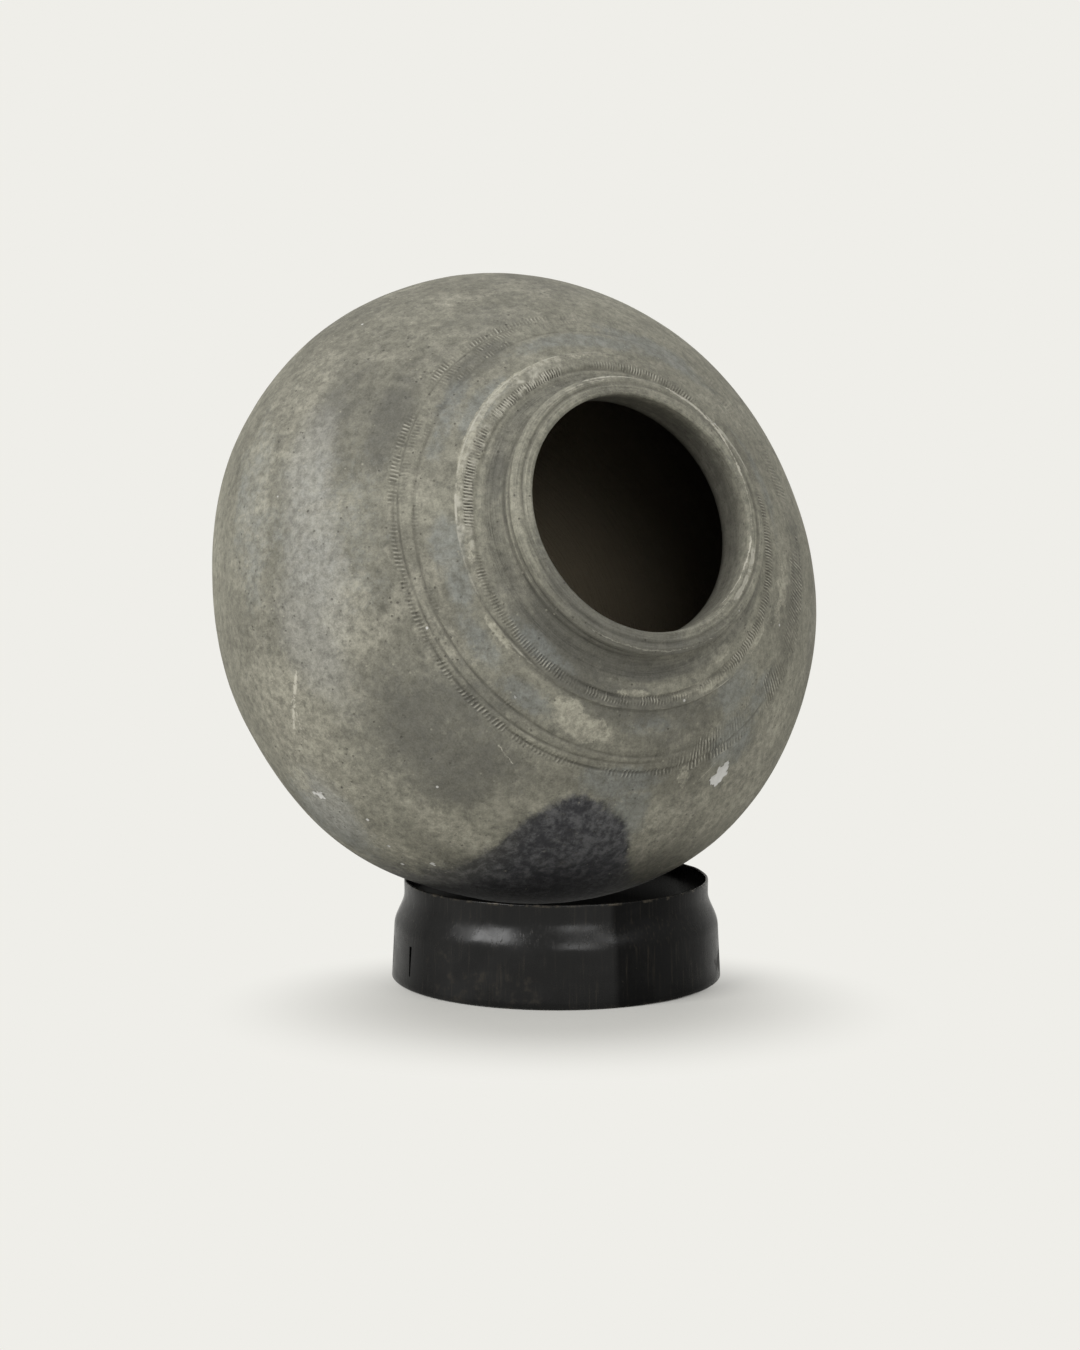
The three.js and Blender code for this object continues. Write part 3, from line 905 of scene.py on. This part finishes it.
def smokedClay():
    material = bpy.data.materials.new("smokedClay")
    emptyTree(material)
    place = put("TexCoord").outputs["Object"]
    around = put("Attribute", attribute_name="around").outputs["Vector"]
    x, y, run = put("SeparateXYZ", {"Vector": around}).outputs
    angle = maths("ARCTAN2", y, x)

    # broad clouds, then smaller mottling
    broad = noisy(place, 11.0, 5.0, 0.6, 0.4)
    patchy = noisy(place, 36.0, 6.0, 0.68, 0.5)
    crusty = noisy(place, 85.0, 6.0, 0.72, 0.8)
    mottled = noisy(place, 210.0, 5.0, 0.72)
    fine = useGroup(grain, {"Place": place, "Scale": 900.0})
    colour = mixed(between(broad, 0.4, 0.66), clayLook["base"], clayLook["shade"])

    def tint(share, name):
        # more of one of the clay's colours
        nonlocal colour
        colour = mixed(share, colour, clayLook[name])

    tint(between(patchy, 0.5, 0.7, 0.0, 0.6), "light")
    tint(between(patchy, 0.5, 0.31, 0.0, 0.55), "shade")
    tint(between(crusty, 0.56, 0.68, 0.0, 0.34), "light")
    tint(between(crusty, 0.44, 0.33, 0.0, 0.4), "dark")
    masks = {}
    for name, hue, scale, spread, softness, amount, least in cloudLooks:
        mask = torn(name, place, scale, spread, softness)
        masks[name] = times(times(mask, amount), between(mottled, 0.34, 0.6, least, 1.0))
        tint(masks[name], hue)
    sootMask = torn("soot", place, 60.0, 1.3, 0.42)
    flecked = times(mottled, 0.35, times(crusty, 0.45, times(patchy, 0.2)))
    flecked = between(flecked, 0.45, 0.58, 0.0, 0.85)
    sootTone = mixed(flecked, clayLook["soot"], clayLook["sootPatch"])
    colour = mixed(times(sootMask, painted("sootAmount")), colour, sootTone)

    # the neck is darker than the shoulder, most of all at its foot
    creaseRun = runAtHeight(pot["crease"])
    onNeck = between(run, bandTo - 0.003, bandTo + 0.003)
    footShade = times(onNeck, between(run, creaseRun + 0.001, creaseRun - 0.012, 0.0, 0.55))
    tint(times(footShade, between(patchy, 0.36, 0.6, 0.5, 1.0)), "dark")

    # mottling, grain and wiping lines
    shade = between(times(mottled, 0.5, times(fine["Tone"], 0.45)), 0.3, 0.65, 0.62, 1.42)
    wiped = useGroup(streaks, {"Place": around, "Stretch": (2.0, 2.0, 900.0), "Share": 0.6})["Height"]
    shade = times(maths("SUBTRACT", wiped, 0.5), times(onNeck, 0.9, 0.16), shade)
    shade = put("CombineColor", {0: shade, 1: shade, 2: shade}).outputs[0]
    colour = mixed(1.0, colour, shade, "MULTIPLY")

    # cut lines and notches are darker, partly grime and partly painted shade, and the crests between them and the
    # places of wear are pale, partly pale deposit and partly painted highlight
    depth = maths("MAXIMUM", painted("groove"), painted("notch"))
    depth = times(depth, between(mottled, 0.32, 0.56, 0.45, 1.0))
    tint(times(depth, 0.85), "dirtAndShade")
    crest = maths("MAXIMUM", painted("wornAndLit"), painted("crest"))
    crest = times(crest, between(crusty, 0.38, 0.6, 0.15, 1.0))
    tint(between(crest, 0.05, 0.9, 0.0, 0.85), "crest")

    # pale specks, dark pits, flakes, scrapes, and wear with painted highlights along the lip
    tint(times(speckled(place, 260.0, 0.1, 0.22), between(broad, 0.35, 0.6, 0.15, 0.6)), "pale")
    tint(times(speckled(place, 95.0, 0.03, 0.1), 0.8), "chip")
    pits = times(speckled(place, 330.0, 0.18, 0.28), between(patchy, 0.42, 0.6))
    tint(times(pits, 0.6), "dirtAndShade")
    shaken = put("TexNoise", {"Vector": place, "Scale": 300.0, "Detail": 3.0, "Roughness": 0.7}).outputs["Color"]
    shaken = vectors("MULTIPLY", vectors("SUBTRACT", shaken, (0.5, 0.5, 0.5)), (0.0035, 0.0035, 0.0))

    def scraped(rows, radius, runOf):
        # the strongest of a set of lines, on flat coordinates of angle times radius, and run
        flat = put("CombineXYZ", {0: times(angle, radius), 1: run}).outputs[0]
        flat = vectors("ADD", flat, shaken)
        total = 0.0
        for fromAngle, fromPlace, toAngle, toPlace, width, strength in rows:
            ends = [(radians((turn + 180) % 360 - 180) * radius, runOf(past * mm), 0.0)
                    for turn, past in ((fromAngle, fromPlace), (toAngle, toPlace))]
            ends = {"From": ends[0], "To": ends[1], "Width": width * mm}
            line = useGroup(drawnLine, {"Place": flat, **ends})["Mask"]
            total = maths("MAXIMUM", total, times(line, strength))
        return total

    scrape = maths("MAXIMUM", scraped(scratches, 0.19, runAtHeight),
                   scraped(lipWear, 0.08, lambda past: lipRun + past))
    scrape = times(scrape, between(mottled, 0.36, 0.58, 0.3, 1.0))
    tint(between(scrape, 0.1, 0.75, 0.0, 0.9), "wornAndLit")
    flake = torn("chip", place, 600.0, 0.5, 0.12)
    tint(flake, "chip")

    # painted shade: the throat is darkened where less light reaches it, and the hollow inside is painted darkest near
    # the neck and lighter towards the base
    tint(between(run, lipRun + 0.003, lipRun + 0.018, 0.0, 0.58), "dirtAndShade")
    hollow = mixed(between(run, lipRun + 0.22, lipRun + 0.36), clayLook["deep"], clayLook["hollow"])
    colour = mixed(between(painted("inside"), 0.0, 1.0), colour, hollow)

    # relief finer than the mesh
    height = times(fine["Height"], 0.45, times(mottled, 0.6))
    height = times(wiped, times(onNeck, 0.7, 0.1), height)
    for relief, amount in ((crusty, 0.4), (pits, -0.5), (depth, -0.35), (flake, -0.3)):
        height = times(relief, amount, height)
    bump = put("Bump", {"Strength": 0.9, "Distance": 0.0011, "Height": height})
    rough = times(sootMask, -0.08, times(masks["blue"], -0.25, 0.8))
    rough = times(maths("SUBTRACT", mottled, 0.5), 0.25, rough)
    surface = put("BsdfPrincipled", {"Base Color": colour, "Roughness": rough, "Normal": bump.outputs[0],
                                     "Specular IOR Level": 0.3})
    put("OutputMaterial", {"Surface": surface.outputs[0]})
    return material


steelLook = {
    "paint": tone(13, 13, 13), "smudge": tone(20, 20, 20), "rust": tone(47, 43, 37), "bare": tone(74, 69, 61),
}


def blackSteel():
    material = bpy.data.materials.new("blackSteel")
    emptyTree(material)
    place = put("TexCoord").outputs["Object"]
    smudged = noisy(place, 28.0, 4.0, 0.6, 0.5)
    blotchy = noisy(place, 160.0, 4.0, 0.6)
    fine = useGroup(grain, {"Place": place, "Scale": 1500.0})
    scored = useGroup(streaks, {"Place": place, "Stretch": (700.0, 700.0, 26.0), "Share": 0.72})["Mask"]
    rust = torn("rust", place, 240.0, 1.3, 0.22)
    bare = times(torn("edge", place, 150.0, 1.2, 0.12), between(blotchy, 0.46, 0.66))
    colour = mixed(between(smudged, 0.42, 0.68), steelLook["paint"], steelLook["smudge"])
    for mask, amount, name in ((rust, between(blotchy, 0.48, 0.7, 0.0, 0.6), "rust"),
                               (scored, between(smudged, 0.4, 0.58, 0.2, 0.8), "rust"),
                               (bare, 0.7, "bare"), (speckled(place, 220.0, 0.05, 0.16), 0.4, "bare")):
        colour = mixed(times(mask, amount), colour, steelLook[name])
    rough = between(smudged, 0.3, 0.7, 0.2, 0.34)
    rough = times(rust, 0.25, times(maths("SUBTRACT", blotchy, 0.5), 0.22, rough))
    height = times(scored, -0.45, times(blotchy, 0.55, times(fine["Height"], 0.2)))
    bump = put("Bump", {"Strength": 0.5, "Distance": 0.00025, "Height": height})
    gloss = times(painted("dull"), -0.18, 0.24)
    surface = put("BsdfPrincipled", {"Base Color": colour, "Roughness": rough, "Metallic": times(bare, 0.6),
                                     "Normal": bump.outputs[0], "Specular IOR Level": gloss})
    put("OutputMaterial", {"Surface": surface.outputs[0]})
    return material


potPiece.data.materials.append(smokedClay())
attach(potPiece, "pot")
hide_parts("clay_pot")

ringPiece.data.materials.append(blackSteel())
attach(ringPiece, "stand")
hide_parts("ring_stand")
print("materials made")


# Studio: a pale floor, four soft lamps and a soft sky

studio = {
    "backdrop": tone(239, 238, 233),
    "floor": tone(213, 212, 207),
    "speckle": tone(214, 213, 207),
    "patchCentre": (0.0, -0.09, 0.0),      # the lit patch of floor that takes the shadow, as the camera faces it
    "patchReach": (0.212, 0.175, 1.0),
    "sky": 0.372,
    "lamps": [                      # name, angle round the ring, lift above the floor, distance, size and light
        ("left", 187, 32, 1.9, (1.0, 0.6), 11.6), ("front", 256, 20, 1.9, (0.8, 0.5), 4.6),
        ("right", 290, 38, 1.9, (0.8, 0.5), 5.2), ("back", 60, 70, 2.0, (1.2, 1.2), 1.7),
    ],
}


def seenBackdrop():
    # 1 where the camera, a reflection or a see-through ray meets the surface
    path = put("LightPath").outputs
    indirect = maths("MAXIMUM", path["Is Glossy Ray"], path["Is Transmission Ray"])
    return maths("MAXIMUM", path["Is Camera Ray"], indirect)


def makeFloor():
    shape = bmesh.new()
    bmesh.ops.create_grid(shape, x_segments=8, y_segments=8, size=6)
    shape.transform(Matrix.Translation((0, 0, -0.0004)))
    floor = toObject(shape, "floor")
    material = bpy.data.materials.new("paleFloor")
    emptyTree(material)
    place = put("TexCoord").outputs["Object"]
    offset = vectors("SUBTRACT", place, tuple(ringCentre))
    offset = put("VectorRotate", {"Vector": offset, "Angle": -view["turn"]}, rotation_type="Z_AXIS").outputs[0]
    offset = vectors("DIVIDE", vectors("SUBTRACT", offset, studio["patchCentre"]), studio["patchReach"])
    far = vectors("DISTANCE", offset, (0.0, 0.0, 0.0), "Value")
    dusty = between(noisy(place, 600.0, 2.0), 0.3, 0.7, 0.0, 0.06)
    matte = put("BsdfDiffuse", {"Color": mixed(dusty, studio["floor"], studio["speckle"])})
    glow = put("Emission", {"Color": studio["backdrop"], "Strength": 1.0})
    share = times(seenBackdrop(), between(far, 0.28, 1.0))
    blend = put("MixShader", {0: share, 1: matte.outputs[0], 2: glow.outputs[0]})
    put("OutputMaterial", {"Surface": blend.outputs[0]})
    floor.data.materials.append(material)


def makeSky():
    world = bpy.data.worlds.new("studio")
    bpy.context.scene.world = world
    emptyTree(world)
    seen = put("Background", {"Color": studio["backdrop"], "Strength": 1.0})
    light = put("Background", {"Color": (1.0, 1.0, 1.0, 1.0), "Strength": studio["sky"]})
    blend = put("MixShader", {0: seenBackdrop(), 1: light.outputs[0], 2: seen.outputs[0]})
    put("OutputWorld", {"Surface": blend.outputs[0]})


def makeLamps():
    middle = ringCentre + Vector((0, 0, 0.2))
    for name, angle, lift, distance, size, light in studio["lamps"]:
        lamp = bpy.data.lights.new(name, "AREA")
        lamp.shape = "RECTANGLE"
        lamp.size, lamp.size_y = size
        lamp.energy = light * pi * size[0] * size[1]
        holder = toScene(name, lamp)
        turn, lift = radians(angle), radians(lift)
        way = Vector((cos(turn) * cos(lift), sin(turn) * cos(lift), sin(lift)))
        facing = way.to_track_quat("Z", "Y").to_matrix().to_4x4()
        holder.matrix_world = Matrix.Translation(middle + way * distance) @ facing
        holder.visible_camera = False


makeFloor()
makeSky()
makeLamps()
bpy.context.scene.view_settings.view_transform = "Standard"
print("studio lit")
